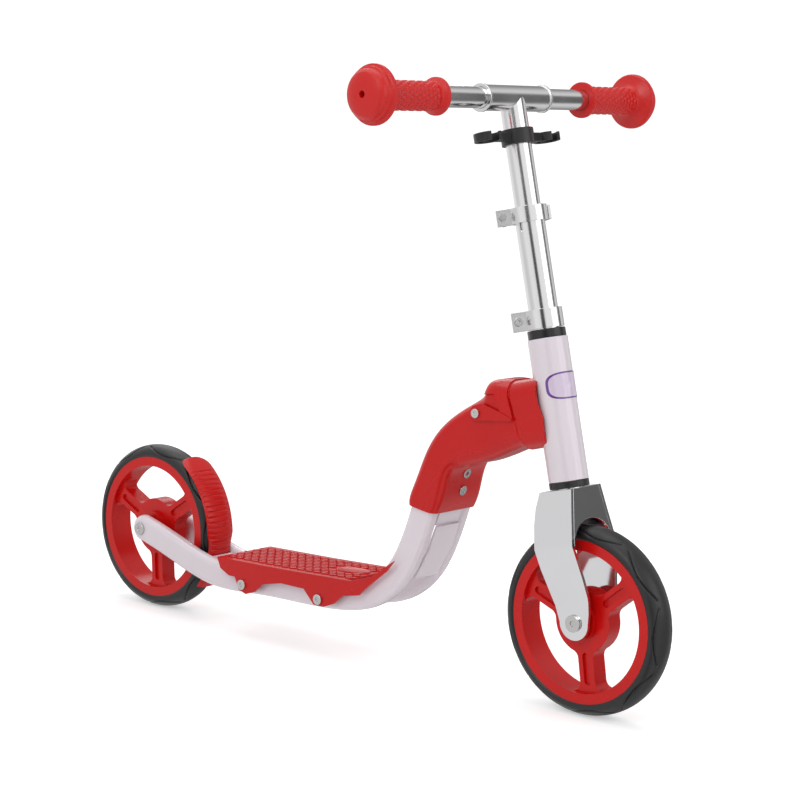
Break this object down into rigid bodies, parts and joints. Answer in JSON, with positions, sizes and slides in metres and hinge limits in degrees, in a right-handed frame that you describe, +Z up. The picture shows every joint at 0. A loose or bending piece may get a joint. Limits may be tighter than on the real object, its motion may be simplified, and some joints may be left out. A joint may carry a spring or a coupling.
{
  "type": "kick scooter",
  "caption": "Child's two-wheeled kick scooter with large spoked wheels, low red deck, fender, latched swivelling rear frame, telescopic stem and pull-off handlebar tubes.",
  "frame": {"origin": "on the ground, midway between the two wheel axles", "axes": "+X forward, +Y to the rider's left, +Z up"},
  "size_m": [0.85, 0.464, 0.6626],
  "materials": {
    "red_plastic": "smooth glossy moulding",
    "red_rim": "glossy moulded wheel",
    "red_grip": "soft rubber with raised bumps",
    "frame_paint": "pale lilac-white gloss paint",
    "tyre": "satin black rubber",
    "chrome": "bright polished",
    "aluminium": "polished aluminium",
    "black_plastic": "satin black moulding",
    "steel": "bright zinc plate",
    "badge": "plain printed foil with a violet border"
  },
  "bodies": {
    "frame": {"frame_tube_left": "frame_paint", "frame_tube_right": "frame_paint", "frame_web": "frame_paint", "swivel_housing": "frame_paint", "cover_left": "red_plastic", "cover_right": "red_plastic", "cover_screws": "steel", "deck": "red_plastic", "deck_bolts": "steel", "rear_fender": "red_plastic", "fender_crossbar": "frame_paint", "fender_screws": "steel", "rear_axle": "steel", "rear_axle_nut": "steel", "rear_washers": "steel", "latch_screws": "steel"},
    "rear_wheel": {"rear_rim": "red_rim", "rear_tyre": "tyre", "rear_bearings": "steel", "rear_hub_spacer": "steel"},
    "latch": {"latch_lever": "red_plastic"},
    "head": {"head_tube": "frame_paint", "neck_stub": "frame_paint", "neck_collar": "red_plastic", "swivel_screw": "steel", "headset_cap_upper": "black_plastic", "headset_ring_lower": "black_plastic", "headset_bearings": "steel", "head_badge": "badge"},
    "steering": {"steerer_tube": "aluminium", "fork_crown": "chrome", "fork_blade_left": "chrome", "fork_blade_right": "chrome", "front_axle": "steel", "front_axle_nut": "steel", "front_washers": "steel", "lower_tube": "aluminium", "lower_clamp": "aluminium", "lower_clamp_bolt": "steel", "lower_clamp_nut": "steel", "upper_clamp": "aluminium", "upper_clamp_nut": "steel", "quick_release_bolt": "steel"},
    "quick_release": {"quick_release_lever": "aluminium"},
    "front_wheel": {"front_rim": "red_rim", "front_tyre": "tyre", "front_bearings": "steel", "front_hub_spacer": "steel"},
    "stem": {"stem_tube": "aluminium", "bar_sleeve": "aluminium", "bar_holder": "black_plastic"},
    "bar_left": {"bar_left": "aluminium", "grip_left": "red_grip"},
    "bar_right": {"bar_right": "aluminium", "grip_right": "red_grip"}
  },
  "joints": [
    {"name": "rear_wheel_spin", "type": "hinge", "parent": "frame", "child": "rear_wheel", "pos_m": [-0.325, 0, 0.1], "axis": [0, 1, 0], "continuous": true},
    {"name": "latch_pivot", "type": "hinge", "parent": "frame", "child": "latch", "pos_m": [0.1939, 0, 0.3039], "axis": [0, -1, 0], "range_deg": [0, 55]},
    {"name": "frame_turn", "type": "hinge", "parent": "frame", "child": "head", "pos_m": [0.2405, 0, 0.3051], "axis": [0.9401, 0, 0.341], "range_deg": [0, 180]},
    {"name": "steering_turn", "type": "hinge", "parent": "head", "child": "steering", "pos_m": [0.32695, 0, 0.10046], "axis": [-0.2317, 0, 0.9728], "continuous": true},
    {"name": "front_wheel_spin", "type": "hinge", "parent": "steering", "child": "front_wheel", "pos_m": [0.325, 0, 0.1], "axis": [0, 1, 0], "continuous": true},
    {"name": "quick_release_swing", "type": "hinge", "parent": "steering", "child": "quick_release", "pos_m": [0.20208, -0.00962, 0.50735], "axis": [-0.2317, 0, 0.9728], "range_deg": [0, 100]},
    {"name": "stem_height", "type": "slide", "parent": "steering", "child": "stem", "axis": [-0.2317, 0, 0.9728], "range_m": [-0.04, 0.04]},
    {"name": "bar_left_pull", "type": "slide", "parent": "stem", "child": "bar_left", "axis": [0, 1, 0], "range_m": [0, 0.06]},
    {"name": "bar_right_pull", "type": "slide", "parent": "stem", "child": "bar_right", "axis": [0, -1, 0], "range_m": [0, 0.06]}
  ]
}
